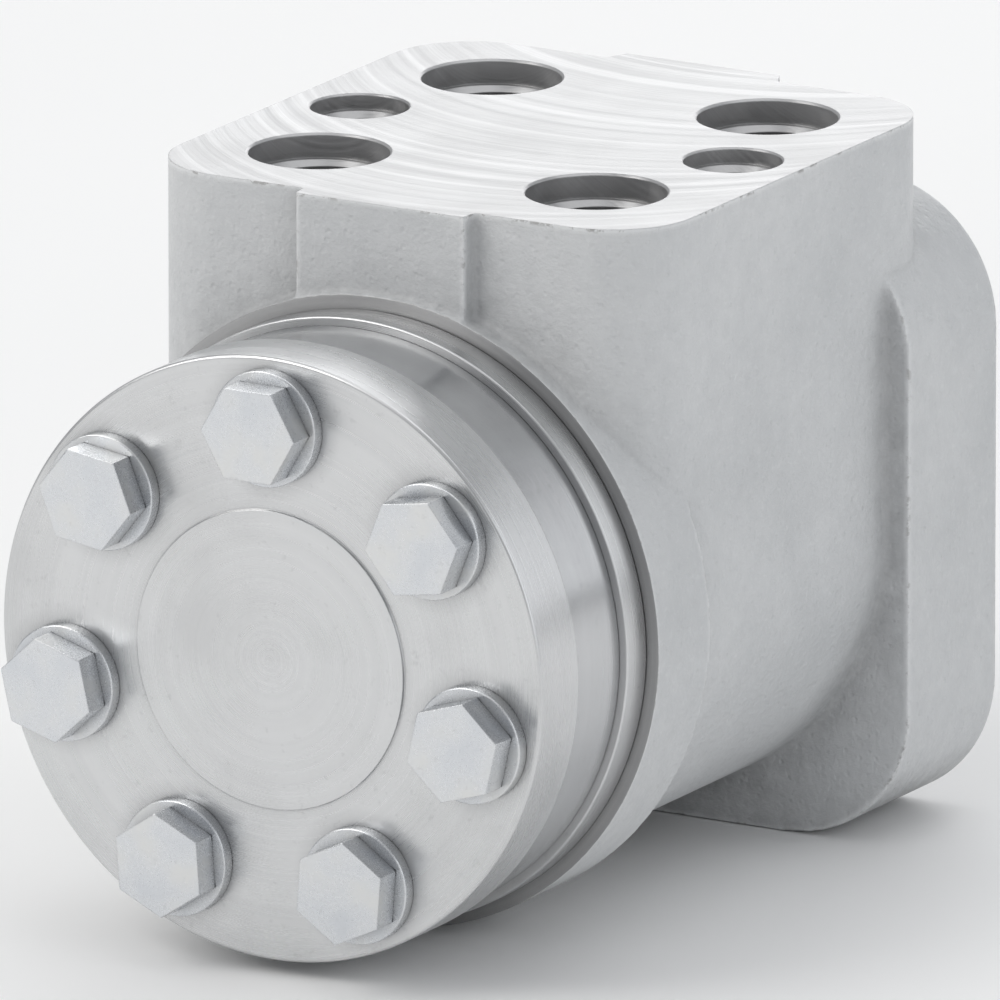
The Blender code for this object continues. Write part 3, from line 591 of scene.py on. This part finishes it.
def rubber():
    m = Nodes("nitrile_rubber", (0.028, 0.028, 0.03), 0.6, 0.0)
    cloud = m.noise(150.0, 3.0, 0.6)
    grit = m.noise(2500.0, 3.0, 0.6)
    m.set("Base Color", m.ramp(cloud, [(0.3, (0.020, 0.020, 0.022)), (0.7, (0.042, 0.042, 0.044))]))
    m.set("Roughness", m.map_range(cloud, 0.3, 0.7, 0.5, 0.7))
    m.set("Normal", m.bump(grit, 0.3, 0.00004))
    m.bsdf.inputs["Sheen Weight"].default_value = 0.1
    return m.mat


PAINT = cast_paint()
MILLED = milled_iron()
BORED = bored_iron()
COVER_MAT = turned_steel("turned_cover_steel", (0.70, 0.705, 0.71), 0.27, 2000.0)
RING_MAT = turned_steel("ground_ring_steel", (0.62, 0.625, 0.635), 0.22, 3200.0, 0.00002)
PLATE_MAT = turned_steel("turned_plate_steel", (0.67, 0.675, 0.68), 0.28, 2600.0)
HARD_MAT = ground_steel("hardened_ground_steel")
SEAT_MAT = ground_steel("plain_steel", (0.66, 0.665, 0.67), 0.3)
SPRING_MAT = spring_metal()
RUBBER_MAT = rubber()
BODY = "motor_body"

# ================================================================= housing
VOX = 0.00052
disc = lathe("cast_disc", [(DISC_R, DISC_F - 1.6), (DISC_R, DISC_B)], 180)
barrel = lathe("cast_barrel", [(BARREL_R, DISC_B - 6), (BARREL_R, 112.0)], 180)
c, w = BLOCK_CORNER, BLOCK_HALF
block_outline = (arc(w - c, BLOCK_F + c, c, -90, 0, 24) + arc(w - c, BLOCK_B - c, c, 0, 90, 24)
                 + [(13.9, BLOCK_B), (12.5, BLOCK_B + 3.4), (-12.5, BLOCK_B + 3.4), (-13.9, BLOCK_B)]
                 + arc(-w + c, BLOCK_B - c, c, 90, 180, 24) + arc(-w + c, BLOCK_F + c, c, 180, 270, 24)
                 + [(-PAD_HALF, BLOCK_F), (-PAD_HALF, BLOCK_F - PAD_OUT),
                    (PAD_HALF, BLOCK_F - PAD_OUT), (PAD_HALF, BLOCK_F)])
block = prism("cast_block", block_outline, 0.3, BLOCK_TOP + 1.6, "XY")
f, hh = FLANGE_CORNER, FLANGE_HALF
flange_outline = (arc(hh - f, hh - f, f, 0, 90, 30) + arc(-hh + f, hh - f, f, 90, 180, 30)
                  + arc(-hh + f, -hh + f, f, 180, 270, 30) + arc(hh - f, -hh + f, f, 270, 360, 30))
flange = prism("cast_flange", flange_outline, FLANGE_F, FLANGE_B + 1.6)
housing = join("motor_housing", disc, barrel, block, flange)
rm = housing.modifiers.new("skin", "REMESH")
rm.mode = "VOXEL"
rm.voxel_size = VOX
rm.adaptivity = 0.0
sm = housing.modifiers.new("cast_radii", "SMOOTH")
sm.factor = 0.5
sm.iterations = 3
apply_all(housing)

# machining: front, top and rear faces
cut(housing, box("stock", -60, 60, DISC_F, FLANGE_B, -60, BLOCK_TOP), op="INTERSECT")

bore = lathe("bore", [(19.6, DISC_F - 2), (19.6, DISC_F), (19.0, DISC_F + 0.6), (19.0, 103.0), (17.0, 103.0),
                      (17.0, 118.0), (14.2, 118.0), (14.2, 121.0), (17.5, 121.0), (17.5, 124.9), (17.9, FLANGE_B),
                      (17.9, FLANGE_B + 2)], 144)
cut(housing, bore)
face_groove = lathe("face_groove", [(39.1, DISC_F + 1.3, 0.2), (41.1, DISC_F + 1.3, 0.2), (41.1, DISC_F - 1),
                                    (39.1, DISC_F - 1)], 160, ring=True)
cut(housing, face_groove)

for yf in PORT_YF:
    for sx in (-1, 1):
        x = sx * PORT_X
        mouth = lathe("port_mouth", [(10.3, BLOCK_TOP + 1), (10.3, BLOCK_TOP), (10.0, BLOCK_TOP - 0.3),
                                     (10.0, BLOCK_TOP - 3.6), (9.25, BLOCK_TOP - 3.6), (8.25, BLOCK_TOP - 4.6),
                                     (8.25, BLOCK_TOP - 16.2), (1.5, BLOCK_TOP - 19.0)], 96, x=x, axis="Z", yf=yf)
        tap = thread("port_tap", "Z", x, yf, BLOCK_TOP - 3.7, 12.2, 9.0, 8.2, 1.5, 72)
        cut(housing, mouth)
        cut(housing, tap)
for sx in (-1, 1):
    x = sx * SMALL_X
    mouth = lathe("bracket_mouth", [(7.25, BLOCK_TOP + 1), (7.25, BLOCK_TOP), (7.0, BLOCK_TOP - 0.25),
                                    (7.0, BLOCK_TOP - 2.3), (6.2, BLOCK_TOP - 2.3), (5.1, BLOCK_TOP - 3.4),
                                    (5.1, BLOCK_TOP - 14.4), (0.6, BLOCK_TOP - 17.0)], 72, x=x, axis="Z", yf=SMALL_YF)
    tap = thread("bracket_tap", "Z", x, SMALL_YF, BLOCK_TOP - 2.4, 11.4, 6.0, 5.05, 1.75, 60)
    cut(housing, mouth)
    cut(housing, tap)
for sx in (-1, 1):
    for y0, y1 in ((PORT_YF[0], 56.0), (PORT_YF[1], 88.0)):
        cut(housing, drill("port_passage", (sx * (PORT_X - 1.0), y0, 43.5), (sx * 9.5, y1, 13.5), 3.0, 40))
for sx in (-1, 1):
    for sz in (-1, 1):
        x, z = sx * MOUNT, sz * MOUNT
        mouth = lathe("mount_mouth", [(5.35, FLANGE_B + 1), (5.35, FLANGE_B), (4.25, FLANGE_B - 1.1),
                                      (4.25, FLANGE_B - 17.4), (0.6, FLANGE_B - 19.6)], 60, x=x, z=z)
        tap = thread("mount_tap", "Y", x, z, FLANGE_B - 0.6, 15.0, 5.0, 4.2, 1.5, 56)
        cut(housing, mouth)
        cut(housing, tap)
relief = lathe("relief_bore", [(5.3, FLANGE_B + 1), (5.3, FLANGE_B), (5.0, FLANGE_B - 0.3), (5.0, 83.0),
                               (2.0, 81.5), (2.0, 75.0)], 64, z=RELIEF_Z)
cut(housing, relief)
for sx in (-1, 1):
    shock = lathe("shock_bore", [(4.25, FLANGE_B + 1), (4.25, FLANGE_B), (4.0, FLANGE_B - 0.25), (4.0, 88.5),
                                 (1.8, 87.2), (1.8, 82.0)], 56, x=sx * SHOCK_X, z=RELIEF_Z)
    cut(housing, shock)
for k, (x, z) in enumerate(bolt_xz):
    hole = lathe("bolt_hole", [(4.15, DISC_F - 1), (4.15, 58.3 if k == 2 else 46.0)], 40, x=x, z=z)
    cut(housing, hole)
for a in gap_angles:
    x, z = 25.5 * math.cos(a), 25.5 * math.sin(a)
    cut(housing, lathe("pocket_passage", [(1.8, DISC_F - 1), (1.8, 44.0), (0.3, 45.0)], 24, x=x, z=z))

# cast paint everywhere, bare iron where a tool has been: 1 milled top, 2 turned and drilled
housing.data.materials.clear()
for m in (PAINT, MILLED, BORED):
    housing.data.materials.append(m)
top_z, rear_y, front_y = (BLOCK_TOP + AXIS_Z) * MM, (FLANGE_B - Y_MID) * MM, (DISC_F - Y_MID) * MM
holes_z = [(sx * PORT_X, yf, 10.4) for sx in (-1, 1) for yf in PORT_YF] + [(sx * SMALL_X, SMALL_YF, 7.35) for sx in (-1, 1)]
holes_y = [(sx * MOUNT, sz * MOUNT, 5.45, FLANGE_B - 20.0) for sx in (-1, 1) for sz in (-1, 1)]
holes_y += [(0, RELIEF_Z, 5.4, 74.0), (SHOCK_X, RELIEF_Z, 4.35, 81.0), (-SHOCK_X, RELIEF_Z, 4.35, 81.0)]
for p in housing.data.polygons:
    q = p.center
    x, yf, z = q.x / MM, q.y / MM + Y_MID, q.z / MM - AXIS_Z
    kind = 0
    if abs(q.z - top_z) < 2e-5:
        kind = 1
    elif abs(q.y - rear_y) < 2e-5 or abs(q.y - front_y) < 2e-5 or math.hypot(x, z) < 20.0:
        kind = 2
    elif z > 38.0 and any(math.hypot(x - hx, yf - hy) < hr for hx, hy, hr in holes_z):
        kind = 2
    elif any(yf > h0 and math.hypot(x - hx, z - hz) < hr for hx, hz, hr, h0 in holes_y):
        kind = 2
    elif DISC_F < yf < 60.0 and (any(math.hypot(x - hx, z - hz) < 4.4 for hx, hz in bolt_xz)
                                 or (abs(math.hypot(x, z) - 40.1) < 1.2 and yf < DISC_F + 1.6)):
        kind = 2
    p.material_index = kind
keep(housing, None, BODY, ["housing"], 32.0)

# =================================================== the bolted end stack
cover = lathe("end_cover_disc", [
    (39.1, 10.5), (39.1, 9.2, 0.15), (41.1, 9.2, 0.15), (41.1, 10.5), (COVER_R, 10.5, 0.35), (COVER_R, 0.0, 0.55),
    (BOSS_R + 0.05, 0.0, 0.12), (BOSS_R, -0.4, 0.25)], 256, steps=5)
for x, z in bolt_xz:
    cut(cover, lathe("cover_hole", [(4.3, -2), (4.3, 12)], 40, x=x, z=z))
keep(cover, COVER_MAT, BODY, ["end_cover"])

beta = math.degrees(math.acos((LOBE_CENTRE ** 2 + LOBE_R ** 2 - ROOT_R ** 2) / (2 * LOBE_CENTRE * LOBE_R)))
lobes = []
for a in bolt_angles:
    ad = math.degrees(a)
    lobe = arc(LOBE_CENTRE * math.cos(a), LOBE_CENTRE * math.sin(a), LOBE_R, ad + 180 + beta, ad + 180 - beta, 30)
    lobes += lobe
    end = math.degrees(math.atan2(lobe[-1][1], lobe[-1][0]))
    half = ((ad + 360.0 / 7) - end) % 360.0 - ((end - ad) % 360.0)
    lobes += arc(0, 0, ROOT_R, end, end + half, 10)[1:-1]
ring = lathe("gear_ring_body", [(RING_R, 23.8, 0.3), (RING_R, 10.56, 0.3)], 256)
cut(ring, prism("ring_inside", lobes, 8.0, 26.0))
for x, z in bolt_xz:
    cut(ring, lathe("ring_hole", [(4.3, 8), (4.3, 26)], 40, x=x, z=z))
keep(ring, RING_MAT, BODY, ["gear_ring"])

plate = lathe("distributor_plate_disc", [
    (10.5, 29.22, 0.3), (PLATE_R, 29.22, 0.3), (PLATE_R, 23.86, 0.3), (41.1, 23.86), (41.1, 25.16, 0.15),
    (39.1, 25.16, 0.15), (39.1, 23.86), (10.5, 23.86, 0.3)], 256, ring=True)
for x, z in bolt_xz:
    cut(plate, lathe("plate_hole", [(4.3, 20), (4.3, 32)], 40, x=x, z=z))
for a in gap_angles:
    cut(plate, lathe("plate_port", [(1.8, 20), (1.8, 32)], 24, x=25.5 * math.cos(a), z=25.5 * math.sin(a)))
keep(plate, PLATE_MAT, BODY, ["distributor_plate"])

HEAD_F, HEAD_B = -6.5, -2.12
for k, (a, (x, z)) in enumerate(zip(bolt_angles, bolt_xz)):
    mat = zinc("zinc_bolt_%d" % (k + 1), k + 1)
    ac = 13.0 / math.sqrt(3.0)
    # hexagonal head whose corners are turned off by a shallow cone, on a thin round bearing face
    hexa = prism("hex", [(x + ac * math.cos(a + math.pi / 2 + math.radians(60 * i)),
                          z + ac * math.sin(a + math.pi / 2 + math.radians(60 * i))) for i in range(6)], HEAD_F, HEAD_B)
    cone = lathe("hex_turning", [(7.35, HEAD_F - 0.01), (7.62, HEAD_F + 0.17), (7.62, HEAD_B - 0.15), (7.0, HEAD_B + 0.0)], 96, x=x, z=z)
    cut(hexa, cone, op="INTERSECT")
    bv = hexa.modifiers.new("edge", "BEVEL")
    bv.width = 0.00016
    bv.segments = 3
    bv.limit_method = "ANGLE"
    bv.angle_limit = math.radians(35)
    apply_all(hexa)
    shank = lathe("shank", [(3.9, HEAD_B - 1.2), (3.9, 42.2), (3.1, 43.0)], 40, x=x, z=z)
    cut(hexa, shank, op="UNION")
    hexa.name = "hex_bolt_%d" % (k + 1)
    keep(hexa, mat, BODY, ["cover_bolt_%d" % (k + 1)], 46.0)
    washer = lathe("flat_washer_%d" % (k + 1), [
        (4.25, -0.02, 0.1), (8.35, -0.02, 0.12), (8.35, -2.1, 0.22), (4.25, -2.1, 0.1)], 128, x=x, z=z, ring=True)
    keep(washer, zinc("zinc_washer_%d" % (k + 1), 20 + k), BODY, ["bolt_washer_%d" % (k + 1)])

# ===================================================== rear face and valves
relief_plug = lathe("relief_plug_screw", [(4.4, 117.0, 0.3), (4.75, 117.5), (4.75, 124.6, 0.1), (4.35, 125.0, 0.1)], 80, z=RELIEF_Z)
sock = prism("hex_socket", [(2.9 * math.cos(math.radians(60 * i + 30)), RELIEF_Z + 2.9 * math.sin(math.radians(60 * i + 30)))
                            for i in range(6)], 119.5, 127.0)
cut(relief_plug, sock)
cut(relief_plug, lathe("socket_lead", [(3.3, 125.5), (3.1, 125.0), (2.4, 124.4), (2.4, 124.0)], 48, z=RELIEF_Z))
keep(relief_plug, zinc("zinc_relief_plug", 31), BODY, ["relief_plug"])
for side, nm in ((1, "right"), (-1, "left")):
    x = side * SHOCK_X
    plug = lathe("shock_plug_screw_" + nm, [(3.4, 113.6, 0.2), (3.78, 114.2), (3.78, 124.65, 0.1), (3.45, 125.0, 0.1)], 72, x=x, z=RELIEF_Z)
    cut(plug, prism("hex_socket", [(x + 2.31 * math.cos(math.radians(60 * i + 12)), RELIEF_Z + 2.31 * math.sin(math.radians(60 * i + 12)))
                                   for i in range(6)], 120.5, 127.0))
    cut(plug, lathe("socket_lead", [(2.7, 125.5), (2.5, 125.0), (1.9, 124.5), (1.9, 124.2)], 40, x=x, z=RELIEF_Z))
    keep(plug, zinc("zinc_shock_plug_" + nm, 33 + side), BODY, ["shock_plug_" + nm])

dust = lathe("dust_seal_ring", [
    (12.7, 123.2, 0.1), (13.3, 122.2), (14.0, 121.3, 0.2), (17.25, 121.3, 0.3), (17.25, 124.7, 0.25), (15.9, 124.7, 0.2),
    (15.6, 124.3, 0.2), (14.9, 124.3, 0.2), (14.3, 124.9, 0.25), (13.4, 124.9, 0.2), (12.7, 124.0, 0.1)], 128, ring=True)
keep(dust, RUBBER_MAT, BODY, ["dust_seal"])


def toothed(r_in, r_out, half_in, half_out, teeth=12, n=4):
    out = []
    for i in range(teeth):
        a = 360.0 / teeth * i
        nxt = a + 360.0 / teeth
        out += [(r_out * math.cos(math.radians(q)), r_out * math.sin(math.radians(q)))
                for q in [a - half_out + 2 * half_out * k / n for k in range(n + 1)]]
        out += [(r_in * math.cos(math.radians(q)), r_in * math.sin(math.radians(q)))
                for q in [a + half_in + (nxt - a - 2 * half_in) * k / n for k in range(n + 1)]]
    return out


spool = lathe("control_spool", [
    (10.5, 95.3, 0.2), (10.5, 34.3, 0.3), (13.9, 34.3, 0.3), (13.9, 97.0, 0.3), (12.4, 97.0), (12.4, 122.0, 0.6)], 128)
cut(spool, prism("socket", toothed(9.5, 10.6, 11.0, 7.5), 102.0, 124.0))
cut(spool, lathe("socket_mouth", [(11.4, 123.0), (10.9, 122.0), (9.6, 120.7), (9.0, 120.7)], 96))
cut(spool, drill("pin_hole", (-20, PIN_YF, 0), (20, PIN_YF, 0), 6.35, 64))
cut(spool, box("spring_slot", -3.45, 3.45, 88.9, 95.1, -18, 18))
for i in range(6):
    a = math.radians(60 * i)
    cx, cz = 15.9 * math.sin(a), 15.9 * math.cos(a)
    cut(spool, lathe("flute", [(2.4, 44.0, 0.5), (3.2, 45.5, 0.5), (3.2, 60.5, 0.5), (2.4, 62.0, 0.5)], 40, x=cx, z=cz))
keep(spool, HARD_MAT, "spool", ["valve_spool"])



def spring(name, x, z, y0, y1, radius, wire, turns, per=32, sides=12):
    """Compression spring with closed end coils, swept round its own axis."""
    bm = bmesh.new()
    n = int(turns * per)
    closed = 0.85
    rise, rings = [], []
    for i in range(n):
        t = i / per
        slow = t < closed or t > turns - closed
        rise.append(0.12 if slow else 1.0)
    total = sum(rise)
    y = y0
    for i in range(n + 1):
        a = 2 * math.pi * i / per
        dy = (rise[min(i, n - 1)] / total) * (y1 - y0)
        tangent = Vector((-radius * math.sin(a), dy * per / (2 * math.pi), radius * math.cos(a))).normalized()
        out = Vector((math.cos(a), 0.0, math.sin(a)))
        side = tangent.cross(out).normalized()
        c0 = Vector((x + radius * math.cos(a), y, z + radius * math.sin(a)))
        ring = []
        for k in range(sides):
            q = 2 * math.pi * k / sides
            v = c0 + (out * math.cos(q) + side * math.sin(q)) * wire
            ring.append(bm.verts.new(world(v.x, v.y, v.z)))
        rings.append(ring)
        y += dy
    for a, b in zip(rings[:-1], rings[1:]):
        for k in range(sides):
            bm.faces.new((a[k], a[(k + 1) % sides], b[(k + 1) % sides], b[k]))
    bm.faces.new(list(reversed(rings[0])))
    bm.faces.new(rings[-1])
    return obj_from_bm(name, bm)


# the three valve springs, each built as one fixed coil (in the valve they shorten as their cone or ball lifts)
coil = spring("relief_valve_spring", 0.0, RELIEF_Z, 92.0, 106.6, 3.5, 0.6, 6.5)
keep(coil, SPRING_MAT, BODY, ["relief_spring"])
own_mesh(coil)
for side, nm in ((1, "right"), (-1, "left")):
    coil = spring("shock_valve_spring_" + nm, side * SHOCK_X, RELIEF_Z, 94.6, 112.6, 2.7, 0.5, 7.5)
    keep(coil, SPRING_MAT, BODY, ["shock_spring_" + nm])
    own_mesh(coil)

# =================================================== pieces kept from CAD
for names, mat in (
        (("rotor", "cardan_shaft", "valve_sleeve", "cross_pin", "bearing_inner_race", "bearing_outer_race",
          "relief_poppet", "shock_ball_left", "shock_ball_right", "check_ball"), HARD_MAT),
        (("rotor_spacer", "bearing_needle_cage", "relief_adjuster", "check_ball_seat"), SEAT_MAT),
        (("leaf_spring_left", "leaf_spring_right", "spring_ring"), SPRING_MAT),
        (("o_ring_cover", "o_ring_plate", "o_ring_housing", "shaft_seal"), RUBBER_MAT)):
    for nm in names:
        ob = frame["nodes"][nm]
        ob.data.materials.clear()
        ob.data.materials.append(mat)

# ============================================================ stage, lights
fm = Nodes("studio_floor", (0.93, 0.93, 0.927), 0.75, 0.0)
fl = fm.noise(3.0, 3.0, 0.5)
fm.set("Base Color", fm.ramp(fl, [(0.3, (0.915, 0.915, 0.912)), (0.7, (0.94, 0.94, 0.937))]))
fm.set("Normal", fm.bump(fm.noise(900.0, 2.0), 0.05, 0.0001))
bm = bmesh.new()
bmesh.ops.create_grid(bm, x_segments=2, y_segments=2, size=6.0)
floor = obj_from_bm("studio_floor", bm)
floor.location = (0.0, 0.0, -0.00015)
floor.data.materials.append(fm.mat)

wd = bpy.data.worlds.new("studio")
bpy.context.scene.world = wd
wd.use_nodes = True
bg = wd.node_tree.nodes["Background"]
bg.inputs["Color"].default_value = (0.96, 0.975, 1.0, 1.0)
bg.inputs["Strength"].default_value = 0.46


def lamp(name, loc, target, size, power, color=(1, 1, 1), size_y=None):
    d = bpy.data.lights.new(name, "AREA")
    d.shape = "RECTANGLE"
    d.size = size
    d.size_y = size_y or size
    d.energy = power
    d.color = color
    o = bpy.data.objects.new(name, d)
    SCENE.objects.link(o)
    o.location = loc
    o.rotation_mode = "QUATERNION"
    o.rotation_quaternion = (Vector(loc) - Vector(target)).to_track_quat("Z", "Y")
    return o


mid = (0.0, 0.0, 0.05)
lamp("key_softbox", (-0.75, -0.85, 1.00), mid, 1.00, 8.6, (1.0, 0.985, 0.96))
lamp("fill_softbox", (1.20, -0.45, 0.50), mid, 0.90, 2.2, (0.95, 0.975, 1.0))
lamp("top_softbox", (0.15, 0.20, 1.35), mid, 1.20, 3.4)
lamp("rear_softbox", (-0.45, 1.25, 0.60), mid, 1.00, 5.2)
lamp("rear_right_softbox", (1.05, 0.90, 0.55), mid, 0.90, 1.8, (0.97, 0.985, 1.0))

# ================================================================= camera
# a long lens stands in for the drawing's parallel projection
AZ, EL = math.radians(30.089), math.radians(15.089)
back = Vector((math.sin(AZ) * math.cos(EL), -math.cos(AZ) * math.cos(EL), math.sin(EL)))
right = Vector((math.cos(AZ), math.sin(AZ), 0.0))
up = Vector((-math.sin(AZ) * math.sin(EL), math.cos(AZ) * math.sin(EL), math.cos(EL)))
cd = bpy.data.cameras.new("camera")
cd.lens = 1300.0
cd.sensor_width = 36.0
cam = bpy.data.objects.new("camera", cd)
SCENE.objects.link(cam)
cam.location = Vector((0.0, 0.0, AXIS_Z * MM)) + right * 0.002159 + up * 0.008882 + back * 5.08549
cam.rotation_mode = "QUATERNION"
cam.rotation_quaternion = (-back).to_track_quat("-Z", "Y")
cd.clip_start, cd.clip_end = 0.1, 60.0
bpy.context.scene.camera = cam
bpy.context.scene.view_settings.view_transform = "Standard"

bpy.context.view_layer.update()
